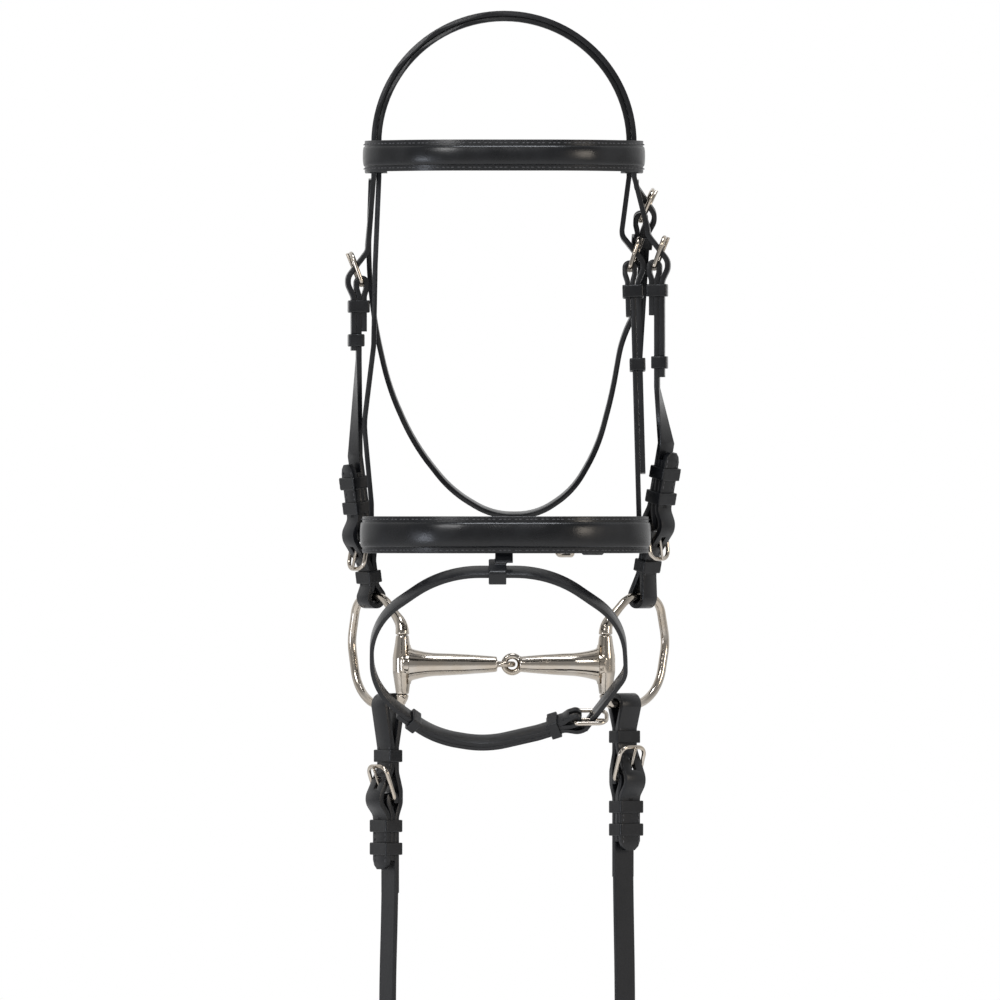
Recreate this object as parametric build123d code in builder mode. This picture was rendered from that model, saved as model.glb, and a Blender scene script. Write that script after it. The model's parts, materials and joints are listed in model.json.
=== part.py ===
"""Snaffle bridle with a padded browband, a flash noseband, an eggbutt bit and buckled reins.

Millimetres. +X is the near (left) side of the horse, +Y runs back from the front of the
head, +Z is up. The origin is the underside of the straps where they lie over the poll.
"""
from build123d import *
import os
from math import cos, radians, sin, tan

os.makedirs("parts", exist_ok=True)

# Leather
billet_width = 13.0          # half-inch cheek, noseband and throatlash straps
leather = 3.4                # thickness of those straps
head_width = 27.0            # headpiece over the poll
rein_width = 16.0            # five-eighth-inch reins
layer_gap = 0.12             # between two straps lying on each other
keeper_wall = 1.8
keeper_height = 8.5
play = 0.3                   # between pieces of different bodies

# Buckles
wire = 1.4                   # radius of a buckle's frame wire
tongue_radius = 1.0
tongue_hole = 3.6            # slot across a strap for the tongue
running_fit = 0.06

# Head arch
arch_radius = 88.5           # centreline of the headpiece
slip_radius = arch_radius - leather - layer_gap
arch_centre = leather / 2 - slip_radius
split_height = -106.0        # where the headpiece divides

# Bit
bit_wire = 3.0
barrel_x = 69.0
barrel_y = -18.0
ring_height = -428.0
ring_tops = 36.5
loop_reach = 36.0            # barrel axis to the cheek's loop
barrel_low, barrel_high = -29.3, 10.7
cannon_thick, cannon_thin = 8.3, 5.2
ring_turn = {-1: 53.6, 1: 45.6}
name_of = {-1: "off", 1: "near"}

# Noseband and flash
nose_height = -349.0
nose_width = 25.0
nose_x = 1.0
flash_width = 12.0
flash_thick = 2.8


def finish(piece, name):
    """Label a finished piece and write it."""
    piece.part.label = name
    export_step(piece.part, f"parts/{name}.step")
    return piece.part


def side_plane(x, y, z, turn, side):
    """Upright plane whose local x points outwards from the head and whose local y is up."""
    a = radians(turn)
    return Plane(origin=(x, y, z), x_dir=(side * cos(a), -sin(a), 0), z_dir=(-sin(a), -side * cos(a), 0))


def bend_radii(points):
    """The arc at each corner: 0.45 of the shorter run over the tangent of half the turn."""
    spots = [Vector(*point) for point in points]
    radii = []
    for before, here, after in zip(spots, spots[1:], spots[2:]):
        turn = radians((here - before).get_angle(after - here))
        shorter = min((here - before).length, (after - here).length)
        radii.append(0.45 * shorter / tan(turn / 2))
    return radii


def moved_route(points, bends, shift):
    """A route moved sideways to its left, with its arcs kept concentric."""
    spots = [Vector(*point) for point in points]
    ways = [(after - before).normalized() for before, after in zip(spots, spots[1:])]
    lefts = [Vector(-way.Y, way.X) for way in ways]
    edge = [spots[0] + lefts[0] * shift]
    radii = []
    for spot, before, after, bend in zip(spots[1:], lefts, lefts[1:], bends):
        edge.append(spot + (before + after) * (shift / (1 + before.dot(after))))
        turns_left = before.cross(after).Z > 0
        radii.append(bend - shift if turns_left else bend + shift)
    edge.append(spots[-1] + lefts[-1] * shift)
    return [(spot.X, spot.Y) for spot in edge], radii


def strap_edge(points, bends, shift):
    """One edge of a strap's profile."""
    edge, radii = moved_route(points, bends, shift)
    return FilletPolyline(*edge, radius=radii)


def add_strap(plane, points, bends, width, thickness=leather):
    """A strap bent along a route in a plane; its width is square to that plane."""
    with BuildSketch(plane) as profile:
        with BuildLine():
            left = strap_edge(points, bends, thickness / 2)
            right = strap_edge(points, bends, -thickness / 2)
            Line(left @ 0, right @ 0)
            Line(left @ 1, right @ 1)
        make_face()
    extrude(profile.sketch, amount=width / 2, both=True)


def cut_section(plane, u, z, width, thickness=leather):
    """A strap's square-cut cross-section at local (u, z) of a plane."""
    spot = Plane(origin=plane.from_local_coords((u, z, 0)), x_dir=plane.x_dir, z_dir=plane.y_dir)
    with BuildSketch(spot) as section:
        Rectangle(thickness, width)
    return section.sketch


def add_twist(top, bottom):
    """The straight stretch of a strap between two level cross-sections."""
    loft([top, bottom], ruled=True)


def cut_slot(plane, centre, size, tilt=0.0):
    """Cut a box through a strap; size is along u, along z and across the strap."""
    with BuildSketch(plane) as opening:
        with Locations(centre):
            Rectangle(size[0], size[1], rotation=tilt)
    extrude(opening.sketch, amount=size[2] / 2, both=True, mode=Mode.SUBTRACT)


def buckle_plane(plane, bar, tip):
    """Plane of a buckle's frame: local x along the bar, local y from the bar to the free end."""
    bar = plane.from_local_coords((*bar, 0))
    along = plane.from_local_coords((*tip, 0)) - bar
    across = plane.z_dir
    return Plane(origin=bar, x_dir=across, z_dir=across.cross(along))


def frame_reach(bar, tip):
    """Length of a buckle's frame between the middles of its bar and its free end."""
    return ((tip[0] - bar[0]) ** 2 + (tip[1] - bar[1]) ** 2) ** 0.5


def make_buckle(plane, bar, tip, width, name):
    """A wire frame: a straight bar, side arms and a rounded free end."""
    frame = buckle_plane(plane, bar, tip)
    half = width / 2 + 2.3
    reach = frame_reach(bar, tip)
    with BuildPart() as buckle:
        with BuildLine(frame) as outline:
            FilletPolyline((0, 0), (half, 0), (half, reach), (0, reach), radius=[2.2, 6.0])
        start = Plane(origin=frame.origin, x_dir=frame.y_dir, z_dir=frame.x_dir)
        with BuildSketch(start) as section:
            Circle(wire)
        sweep(section.sketch, path=outline.line)
        mirror(about=start)
    return finish(buckle, name)


def make_tongue(plane, bar, tip, name):
    """A buckle's tongue: an eye round the bar and a pin that rests on the free end."""
    frame = buckle_plane(plane, bar, tip)
    reach = frame_reach(bar, tip)
    outwards = 1 if frame.z_dir.dot(plane.x_dir) > 0 else -1
    lift = outwards * (wire + tongue_radius + play / 2)
    eye_plane = Plane(origin=frame.origin, x_dir=frame.y_dir, z_dir=frame.x_dir)
    with BuildPart() as tongue:
        with BuildSketch(eye_plane) as eye:
            Circle(wire + 1.3)
        extrude(eye.sketch, amount=1.6, both=True)
        foot = frame.from_local_coords((0, 1.2, outwards * 1.6))
        end = frame.from_local_coords((0, reach + 0.9, lift))
        pin_plane = Plane(origin=foot, z_dir=end - foot)
        with BuildSketch(pin_plane) as pin:
            Circle(tongue_radius)
        extrude(pin.sketch, amount=(end - foot).length)
        with BuildSketch(eye_plane) as bore:
            Circle(wire + running_fit)
        extrude(bore.sketch, amount=5, both=True, mode=Mode.SUBTRACT)
    return finish(tongue, name)


def add_keeper(plane, u, z, layers, width, thickness=leather, height=keeper_height):
    """A leather loop round a number of straps, its middle at local (u, z)."""
    spot = Plane(origin=plane.from_local_coords((u, z - height / 2, 0)), x_dir=plane.x_dir,
                 z_dir=plane.y_dir)
    inner = layers * thickness + (layers - 1) * layer_gap + 0.3
    with BuildSketch(spot) as ring:
        RectangleRounded(inner + 2 * keeper_wall, width + 0.4 + 2 * keeper_wall, 1.2)
        Rectangle(inner, width + 0.4, mode=Mode.SUBTRACT)
    extrude(ring.sketch, amount=height)


# A strap end that takes a buckle. Local u is outwards and v runs away from the bar, along the
# strap that the buckle hangs on, which is folded round the bar and sewn to itself.
half_lap = (leather + layer_gap) / 2
top_bar = (0.0, 0.0)
top_tip = (7.0, 20.0)
fold_back = 33.0
billet_u = half_lap * 3


def add_fold(plane, strap_end, width):
    """The strap folded round a buckle's bar, with the slot for the tongue."""
    points = [(-half_lap, -fold_back), (-half_lap, -9), (-3.3, -4), (-3.3, 3.3), (3.3, 3.3), (3.3, -4),
              (half_lap, -9), (half_lap, strap_end)]
    add_strap(plane, points, [6, 5, 3.2, 3.2, 5, 6], width)
    cut_slot(plane, (0, 1.5), (10.4, 9, tongue_hole))


def add_top_billet(plane, tip_v, start_v, width, start_u=-4.6):
    """A billet from above, through the frame, outwards over the bar and down to its tip."""
    points = [(billet_u, tip_v), (billet_u, -9.5), (9.0, -1.5), (9.2, 4), (start_u, 22),
              (start_u, start_v)]
    add_strap(plane, points, [8, 8, 8, 7.5], width)
    cut_slot(plane, (5.1, 9.4), (7, 9, tongue_hole), tilt=37)


# A strap end that goes round a bit ring and back up to a buckle. The ring's wire is at local
# (0, 0), v runs away from the ring, and shift lengthens the loop.
end_bar = (1.9, 40.0)
end_tip = (9.9, 18.0)
loop_half = 5.9


def add_ring_end(plane, shift, strap_end, tip_v, width, half=loop_half):
    """Strap, loop round the ring, billet through the buckle, and the fold that holds the buckle."""
    s = shift
    behind = [(-half_lap, strap_end), (-half_lap, 52 + s), (-5.0, 43 + s), (-5.0, 34 + s),
              (-half_lap, 22 + s), (-half_lap, 5 + s), (-half, 1.2), (-half, -6.1), (0, -6.1)]
    add_strap(plane, behind, [12, 10, 10, 12, 5, 2.5, half - 0.1], width)
    before = [(0, -6.1), (half, -6.1), (half, 1.2), (half_lap, 5 + s), (half_lap, 19 + s),
              (11.5, 38 + s), (11.5, 43 + s), (billet_u, 51 + s), (billet_u, tip_v)]
    add_strap(plane, before, [half - 0.1, 2.5, 5, 14, 8.5, 8, 8], width)
    fold = [(-1.3, 43 + s), (-1.3, 36.8 + s), (5.1, 36.8 + s), (5.1, 43 + s), (half_lap, 50 + s),
            (half_lap, tip_v - 6)]
    add_strap(plane, fold, [3.1, 3.1, 6, 8], width)
    cut_slot(plane, (2.4, 38.5 + s), (9.8, 9, tongue_hole))
    cut_slot(plane, (7.4, 30 + s), (7, 9, tongue_hole), tilt=-27)


def leaning_plane(origin, out, up):
    """Plane whose local y is the given up direction and whose local x is nearest to out."""
    up = Vector(*up).normalized()
    out = Vector(*out)
    out = (out - up * out.dot(up)).normalized()
    return Plane(origin=origin, x_dir=out, z_dir=out.cross(up))


# Head arch: the headpiece over the poll, split below the browband into a cheek billet in front
# and the throatlash behind, and the slip strap under it that carries the noseband.
front_y = -head_width / 4
rear_y = head_width / 4
slip_y = -5.0
branch_width = head_width / 2 - 0.7
off_bar = (-97.0, front_y, -178.0)
near_bar = (102.3, front_y, -167.0)
cheek_top = {-1: side_plane(*off_bar, 4.0, -1), 1: side_plane(*near_bar, 4.0, 1)}
cheek_tip = {-1: -46.0, 1: -75.0}
cheek_keepers = {-1: (-16.0, -39.0), 1: (-16.0, -65.0)}


def add_arch(radius, y, width):
    """A strap over the poll, half round, then straight down to the split."""
    with BuildSketch(Plane.XZ.offset(-y)) as profile:
        with BuildLine():
            Line((-radius, split_height), (-radius, arch_centre))
            ThreePointArc((-radius, arch_centre), (0, arch_centre + radius), (radius, arch_centre))
            Line((radius, arch_centre), (radius, split_height))
        trace(line_width=leather)
    extrude(profile.sketch, amount=width / 2, both=True)


def foot_section(x, y, width):
    """Level cross-section of an arch strap at the split."""
    with BuildSketch(Plane(origin=(x, y, split_height), x_dir=(1, 0, 0), z_dir=(0, 0, 1))) as section:
        Rectangle(leather, width)
    return section.sketch


with BuildPart() as headpiece:
    add_arch(arch_radius, 0, head_width)
    for side in (-1, 1):
        front = cheek_top[side]
        add_top_billet(front, cheek_tip[side], 26.0, branch_width)
        add_twist(foot_section(side * arch_radius, front_y, branch_width),
                  cut_section(front, -4.6, 26.0, branch_width))
finish(headpiece, "headpiece")

# Slip strap: off side sewn inside the noseband, near side a billet through the noseband buckle.
nose_y = -18.0
off_slip = leaning_plane((-slip_radius, slip_y, split_height), (1, 0, 0), (0, slip_y - nose_y, 240))
nose_bar = leaning_plane((85.5, slip_y, -168.0), (1, 0, 0), (-4.9, slip_y - nose_y, 187))
slip_tip = -140.0
nose_keepers = (-16.0, -66.0)
with BuildPart() as sliphead:
    add_arch(slip_radius, slip_y, billet_width)
    down = [(0, 0), (-2.5, -60), (-3.5, -115), (-10.0, -168), (-5.0, -222), (-5.0, -254)]
    add_strap(off_slip, down, [60, 60, 60, 40], billet_width)
    add_top_billet(nose_bar, slip_tip, 26.0, billet_width)
    add_twist(foot_section(slip_radius, slip_y, billet_width),
              cut_section(nose_bar, -4.6, 26.0, billet_width))
finish(sliphead, "noseband_sliphead")

with BuildPart() as nose_cheek:
    add_fold(nose_bar, -190.0, billet_width)
finish(nose_cheek, "near_noseband_cheek")
make_buckle(nose_bar, top_bar, top_tip, billet_width, "noseband_cheek_buckle")
make_tongue(nose_bar, top_bar, top_tip, "noseband_cheek_tongue")
with BuildPart() as nose_cheek_keepers:
    add_keeper(nose_bar, half_lap, nose_keepers[0], 3, billet_width)
    add_keeper(nose_bar, half_lap * 2, nose_keepers[1], 2, billet_width)
finish(nose_cheek_keepers, "noseband_cheek_keepers")

# Bit rings: egg-shaped wire in an upright plane through the barrel, turned back from the front.
def ring_plane(side):
    t = radians(ring_turn[side])
    return Plane(origin=(side * barrel_x, barrel_y, ring_height), x_dir=(side * cos(t), sin(t), 0),
                 z_dir=(sin(t), -side * cos(t), 0))


ring_route = [(0, barrel_high + 0.3), (0, 18), (22, ring_tops), (52, ring_tops), (59, 6), (52, -26),
              (34, -ring_tops), (0, -ring_tops), (0, barrel_low - 0.3)]
ring_bends = [12, 20, 14, 34, 30, 24, 6.3]
pin_radius = 2.0
pin_long = 6.0
eye_radius = 5.6
eye_wire = 2.1
eye_offset = 2.6             # each eye's centre from the middle of the joint


def make_bit(side):
    """One ring and one arm of the mouthpiece, which turns on the ring's two pins."""
    plane = ring_plane(side)
    upright = Plane(origin=plane.origin, x_dir=(1, 0, 0), z_dir=(0, 0, 1))
    with BuildPart() as ring:
        with BuildLine(plane) as outline:
            FilletPolyline(*ring_route, radius=ring_bends)
        with BuildSketch(upright.offset(barrel_high + 0.3)) as section:
            Circle(bit_wire)
        sweep(section.sketch, path=outline.line)
        with BuildSketch(upright.offset(barrel_high - pin_long)) as upper_pin:
            Circle(pin_radius)
        extrude(upper_pin.sketch, amount=pin_long + 0.5)
        with BuildSketch(upright.offset(barrel_low - 0.5)) as lower_pin:
            Circle(pin_radius)
        extrude(lower_pin.sketch, amount=pin_long + 0.5)
    finish(ring, f"{name_of[side]}_bit_ring")

    middle = (barrel_high + barrel_low) / 2
    joint_z = -437.0 - ring_height
    start = Vector(side * barrel_x, barrel_y, ring_height + middle)
    end = Vector(3 + side * eye_offset, barrel_y, ring_height + joint_z)
    arm = end - start
    with BuildPart() as mouthpiece:
        with BuildSketch(Plane(origin=plane.origin, x_dir=(1, 0, 0), z_dir=(0, -1, 0))) as barrel:
            with BuildLine():
                Polyline((0, barrel_low), (4.4, barrel_low), (5.2, barrel_low + 6), (6.6, middle - 5),
                         (6.6, middle + 5), (5.2, barrel_high - 6), (4.4, barrel_high), (0, barrel_high),
                         close=True)
            make_face()
        revolve(barrel.sketch, axis=Axis(plane.origin, (0, 0, 1)))
        thick = Plane(origin=start, z_dir=arm)
        with BuildSketch(thick) as root_section:
            Circle(cannon_thick)
        with BuildSketch(thick.offset(arm.length * 0.5)) as mid_section:
            Circle(cannon_thick * 0.88)
        with BuildSketch(thick.offset(arm.length - 5)) as end_section:
            Circle(cannon_thin)
        loft([root_section.sketch, mid_section.sketch, end_section.sketch])
        eye_normal = (0, 1, 0) if side == 1 else (0, 0, 1)
        eye_plane = Plane(origin=end, z_dir=eye_normal)
        with BuildSketch(eye_plane) as hole:
            Circle(eye_radius - eye_wire)
        extrude(hole.sketch, amount=12, both=True, mode=Mode.SUBTRACT)
        with Locations(eye_plane):
            Torus(eye_radius, eye_wire)
        for height in (barrel_low - 1, barrel_high - pin_long - 0.6):
            with BuildSketch(upright.offset(height)) as bore:
                Circle(pin_radius + running_fit)
            extrude(bore.sketch, amount=pin_long + 1.6, mode=Mode.SUBTRACT)
    finish(mouthpiece, f"{name_of[side]}_mouthpiece")


for side in (-1, 1):
    make_bit(side)


# Cheekpieces: folded round the top buckle, down to the bit, round its ring and up to a buckle.
end_turn = {side: 90 - ring_turn[side] for side in (-1, 1)}
end_tilt = {-1: 9.0, 1: 13.0}
end_shift = {-1: 3.0, 1: 11.0}
end_keepers = {-1: (62.0, 79.0), 1: (70.0, 87.0)}
end_tips = {-1: 92.0, 1: 102.0}
cheek_break = {-1: -52.0, 1: -82.0}   # where the upper, edge-on stretch begins to turn


def outward(turn, side):
    """Level direction that an outer face looks in, turned towards the front of the head."""
    return Vector(side * cos(radians(turn)), -sin(radians(turn)), 0)


def end_plane(side):
    """Plane of the cheekpiece's lower end, its origin in the middle of the ring's wire."""
    out = outward(end_turn[side], side)
    lean = radians(end_tilt[side])
    origin = ring_plane(side).from_local_coords((loop_reach, ring_tops, 0))
    return leaning_plane(origin, out, out * sin(lean) + Vector(0, 0, cos(lean)))


def end_point(point, shift):
    """A buckle's point on a lengthened ring end."""
    return (point[0], point[1] + shift)


def make_ring_end_fittings(plane, shift, width, keepers, name):
    """Buckle, tongue and keepers of a ring end."""
    bar = end_point(end_bar, shift)
    tip = end_point(end_tip, shift)
    make_buckle(plane, bar, tip, width, f"{name}_buckle")
    make_tongue(plane, bar, tip, f"{name}_tongue")
    with BuildPart() as end_loops:
        add_keeper(plane, 0, 10.9 + shift, 2, width)
        for v in keepers:
            add_keeper(plane, half_lap, v, 3, width)
    finish(end_loops, f"{name}_keepers")


for side in (-1, 1):
    name = name_of[side]
    upper = cheek_top[side]
    lower = end_plane(side)
    strap_end = end_tips[side] + 5
    with BuildPart() as cheek:
        add_fold(upper, cheek_break[side], billet_width)
        add_ring_end(lower, end_shift[side], strap_end, end_tips[side], billet_width)
        add_twist(cut_section(upper, half_lap, cheek_break[side], billet_width),
                  cut_section(lower, -half_lap, strap_end, billet_width))
    finish(cheek, f"{name}_cheek_strap")
    make_buckle(upper, top_bar, top_tip, billet_width, f"{name}_cheek_top_buckle")
    make_tongue(upper, top_bar, top_tip, f"{name}_cheek_top_tongue")
    with BuildPart() as top_loops:
        add_keeper(upper, half_lap, cheek_keepers[side][0], 3, billet_width)
        add_keeper(upper, half_lap * 2, cheek_keepers[side][1], 2, billet_width)
    finish(top_loops, f"{name}_cheek_top_keepers")
    make_ring_end_fittings(lower, end_shift[side], billet_width, end_keepers[side], f"{name}_cheek_end")

# Throatlash: it hangs from the headpiece's rear branches in a plane that leans back as it goes
# down, and buckles on the near side. It swings about a level axis at the split.
throat_width = 12.0
throat_y = rear_y + 0.2
throat_gap = 1.6
throat_lean = radians(9.4)
throat = leaning_plane((0, throat_y, split_height), (1, 0, 0), (0, -sin(throat_lean), cos(throat_lean)))
throat_bar = leaning_plane(throat.from_local_coords((93.1, -28.5, 0)), throat.x_dir + throat.y_dir * -0.06,
                           throat.y_dir + throat.x_dir * 0.06)
throat_tip = -112.0
with BuildPart() as throat_strap:
    bottom = [(-arch_radius - 2, -throat_gap), (-92.5, -58), (-88, -102), (-78, -146), (-61, -184),
              (-36, -216), (-8, -233), (22, -233), (47, -216), (64, -186), (74, -148), (80, -112), (0, 0)]
    lap_end = throat.to_local_coords(throat_bar.from_local_coords((half_lap, -60, 0)))
    add_fold(throat_bar, -60.0, throat_width)
    bottom[-1] = (lap_end.X, lap_end.Y)
    add_strap(throat, bottom, bend_radii(bottom), throat_width)
finish(throat_strap, "throatlash_strap")
with BuildPart() as throat_billet:
    add_top_billet(throat_bar, throat_tip, 26.0, throat_width)
finish(throat_billet, "throatlash_billet")
make_buckle(throat_bar, top_bar, top_tip, throat_width, "throatlash_buckle")
make_tongue(throat_bar, top_bar, top_tip, "throatlash_tongue")
with BuildPart() as throat_loop:
    add_keeper(throat_bar, half_lap, -16.0, 3, throat_width)
finish(throat_loop, "throatlash_keeper")


# Browband: a padded band across the front whose end loops slide on the headpiece.
brow_top, brow_bottom = -82.2, -103.2
brow_middle = (brow_top + brow_bottom) / 2
brow_height = brow_top - brow_bottom
band = 3.2
brow_front = [(91.2 + band / 2, -10), (91.2 + band / 2, -66), (50, -106), (-50, -106),
              (-91.2 - band / 2, -66), (-91.2 - band / 2, -10)]
brow_bends = [40, 60, 60, 40]
loop_inner = (8.5, 28.8)


def add_roll(plane, points, bends, shift, width, height):
    """A padded roll along the middle of a band, crowned on its outer face."""
    roll, radii = moved_route(points, bends, shift)
    add_strap(plane, roll, radii, width, height)


brow_plane = Plane.XY.offset(brow_middle)
with BuildPart() as browband:
    add_strap(brow_plane, brow_front, brow_bends, brow_height, band)
    for side in (-1, 1):
        spot = Plane(origin=(side * (arch_radius - 1.65), 0, brow_bottom), x_dir=(1, 0, 0), z_dir=(0, 0, 1))
        with BuildSketch(spot) as loop:
            RectangleRounded(loop_inner[0] + 2 * band, loop_inner[1] + 2 * band, 2.5)
            Rectangle(*loop_inner, mode=Mode.SUBTRACT)
        extrude(loop.sketch, amount=brow_height)
finish(browband, "browband")
with BuildPart() as brow_padding:
    inner = [(91.2 + band / 2, -30), *brow_front[1:-1], (-91.2 - band / 2, -30)]
    add_roll(brow_plane, inner, brow_bends, band / 2 + 2.0, 10.5, 4.0)
finish(brow_padding, "browband_padding")

# Noseband: a padded front, a jaw strap behind with its buckle on the near side.
nose_band = 4.0
nose_side = 95.0
nose_front = [(nose_x + nose_side, -11.5), (nose_x + nose_side, -70), (nose_x + 48, -109),
              (nose_x - 48, -109), (nose_x - nose_side, -70), (nose_x - nose_side, -11.5)]
nose_bends = [42, 62, 62, 42]
nose_plane = Plane.XY.offset(nose_height)
with BuildPart() as noseband:
    add_strap(nose_plane, nose_front, nose_bends, nose_width, nose_band)
finish(noseband, "noseband_front")
with BuildPart() as nose_padding:
    inner = [(nose_x + nose_side, -24), *nose_front[1:-1], (nose_x - nose_side, -24)]
    add_roll(nose_plane, inner, nose_bends, nose_band / 2 + 2.5, 13.0, 5.0)
finish(nose_padding, "noseband_padding")

jaw_width = 18.0
jaw_plane = Plane.XY.offset(-352.0)
jaw_way = Vector(-0.788, 0.616, 0).normalized()
jaw_out = Vector(0.616, 0.788, 0).normalized()
jaw_side = 87.4
jaw_corner = Vector(nose_x + 80, 12, -352)
jaw_bar = leaning_plane(jaw_corner + jaw_way * 42 - jaw_out * half_lap, jaw_out, jaw_way)
jaw_tip = -48.0
with BuildPart() as jaw_chape:
    add_fold(jaw_bar, -40.0, jaw_width)
    lap_start = jaw_corner + jaw_way * 2.4
    add_strap(jaw_plane, [(lap_start.X, lap_start.Y), (jaw_corner.X, jaw_corner.Y),
                          (nose_x + jaw_side, -10), (nose_x + jaw_side, -28)], [6, 20], jaw_width)
finish(jaw_chape, "jaw_strap_chape")
with BuildPart() as jaw_strap:
    billet_top = jaw_bar.from_local_coords((-4.6, 26, 0))
    beyond = jaw_bar.from_local_coords((-4.6, 50, 0))
    add_top_billet(jaw_bar, jaw_tip, 26.0, jaw_width)
    add_strap(jaw_plane, [(billet_top.X, billet_top.Y), (beyond.X, beyond.Y), (-36, 56),
                          (nose_x - 81, 14), (nose_x - jaw_side, -10), (nose_x - jaw_side, -28)],
              [40, 30, 20, 20], jaw_width)
finish(jaw_strap, "jaw_strap")
make_buckle(jaw_bar, top_bar, top_tip, jaw_width, "jaw_strap_buckle")
make_tongue(jaw_bar, top_bar, top_tip, "jaw_strap_tongue")
with BuildPart() as jaw_loops:
    add_keeper(jaw_bar, half_lap, -16.0, 3, jaw_width)
finish(jaw_loops, "jaw_strap_keeper")

# Flash strap: a loop in a plane that slopes down and back from the front of the noseband.
flash = leaning_plane((-4.4, -76, -430.5), (1, 0, 0), (0, -68, 113))
flash_angle = radians(20)
flash_bar_at = (52.7, -49.2)
flash_up = Vector(cos(flash_angle), sin(flash_angle))
flash_out = Vector(sin(flash_angle), -cos(flash_angle))
flash_half_lap = (flash_thick + layer_gap) / 2
flash_bar = leaning_plane(flash.from_local_coords((*flash_bar_at, 0)),
                          flash.x_dir * flash_out.X + flash.y_dir * flash_out.Y,
                          flash.x_dir * flash_up.X + flash.y_dir * flash_up.Y)


def on_flash(u, v):
    """Flash-plane place of a point given beside the flash buckle's bar."""
    spot = Vector(*flash_bar_at) + flash_out * u + flash_up * v
    return (spot.X, spot.Y)


flash_leg = [on_flash(flash_half_lap, -9), on_flash(flash_half_lap, -28), (-8, -69.5), (-42, -63),
             (-85, -27)]
flash_leg_bends = [60, 60, 60]
flash_ring = [(-85, 27), (-36, 66), (36, 66), (85, 27), (87, -14)]
flash_ring_bends = [50, 50, 70, 70, 50, 18]
with BuildPart() as flash_strap:
    fold = [on_flash(-flash_half_lap, -20), on_flash(-flash_half_lap, -8), on_flash(-3.0, -4),
            on_flash(-3.0, 3.0), on_flash(3.0, 3.0), on_flash(3.0, -4)]
    add_strap(flash, [*fold, *flash_leg, *flash_ring, on_flash(-4.4, 22), on_flash(9.0, 4)],
              [5, 4, 2.9, 2.9, 4, 6, *flash_leg_bends, *flash_ring_bends, 8], flash_width, flash_thick)
    tail_points, tail_bends = moved_route([*flash_leg[:4], (-66, -42.9)], flash_leg_bends,
                                          flash_thick + layer_gap)
    add_strap(flash, [on_flash(-4.4, 22), on_flash(9.0, 4), on_flash(8.8, -1.5), *tail_points],
              [8, 8, 8, *tail_bends], flash_width, flash_thick)
    cut_slot(flash_bar, (0, 1.5), (10.0, 9, tongue_hole))
    cut_slot(flash_bar, (5.1, 9.4), (7, 9, tongue_hole), tilt=37)
finish(flash_strap, "flash_strap")
make_buckle(flash_bar, top_bar, top_tip, flash_width, "flash_buckle")
make_tongue(flash_bar, top_bar, top_tip, "flash_tongue")
second_way = (flash_leg[4][0] - flash_leg[3][0], flash_leg[4][1] - flash_leg[3][1])
second_spot = (flash_leg[3][0] + 0.33 * second_way[0], flash_leg[3][1] + 0.33 * second_way[1])
second_loop = leaning_plane(flash.from_local_coords((*second_spot, 0)),
                            flash.x_dir * -second_way[1] + flash.y_dir * second_way[0],
                            flash.x_dir * second_way[0] + flash.y_dir * second_way[1])
with BuildPart() as flash_loops:
    add_keeper(flash_bar, flash_half_lap, -15.5, 3, flash_width, flash_thick, 7.0)
    add_keeper(second_loop, flash_half_lap, 0, 2, flash_width, flash_thick, 7.0)
finish(flash_loops, "flash_keepers")

# The flash loop: a tab sewn behind the noseband that ends in a leather loop round the strap.
loop_clear = 6.6
tab_x = -4.4
with BuildPart() as flash_loop:
    with BuildSketch(Plane(origin=flash.from_local_coords((-6, 66, 0)), x_dir=flash.y_dir, z_dir=(1, 0, 0))
                     ) as ring:
        RectangleRounded(loop_clear + 2 * 2.0, flash_width + 3.2 + 2 * 2.0, 2.2)
        RectangleRounded(loop_clear, flash_width + 3.2, 1.0, mode=Mode.SUBTRACT)
    extrude(ring.sketch, amount=12)
    with BuildSketch(Plane(origin=(tab_x - 1.6, 0, 0), x_dir=(0, 1, 0), z_dir=(1, 0, 0))) as tab:
        with BuildLine():
            Polyline((-106.6, -341), (-104.2, -341), (-104.2, -360), (-107.5, -368), (-112.0, -368),
                     (-106.6, -362.2), close=True)
        make_face()
    extrude(tab.sketch, amount=12)
finish(flash_loop, "flash_loop")

# Reins: each goes round its ring and up to a buckle like the cheekpieces, then runs free.
rein_reach = {-1: 16.5, 1: 18.5}      # along the ring's lower edge from the barrel
rein_turn = {-1: end_turn[-1], 1: end_turn[1] + 8}
rein_shift = {-1: 24.0, 1: 11.0}
rein_keepers = {-1: (82.5, 98.0), 1: (69.5, 85.0)}
rein_tips = {-1: 112.0, 1: 99.0}
rein_strap_end = {-1: 128.0, 1: 117.0}
rein_half_loop = 6.6


def rein_plane(side):
    """Plane of a rein's ring end; local y runs down, away from the ring."""
    origin = ring_plane(side).from_local_coords((rein_reach[side], -ring_tops, 0))
    return leaning_plane(origin, outward(rein_turn[side], side), (0, 0, -1))


for side in (-1, 1):
    name = name_of[side]
    plane = rein_plane(side)
    with BuildPart() as rein:
        add_ring_end(plane, rein_shift[side], rein_strap_end[side], rein_tips[side], rein_width,
                     rein_half_loop)
    finish(rein, f"{name}_rein_end")
    make_ring_end_fittings(plane, rein_shift[side], rein_width, rein_keepers[side], f"{name}_rein")

ring_bottom = ring_height - ring_tops

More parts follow.
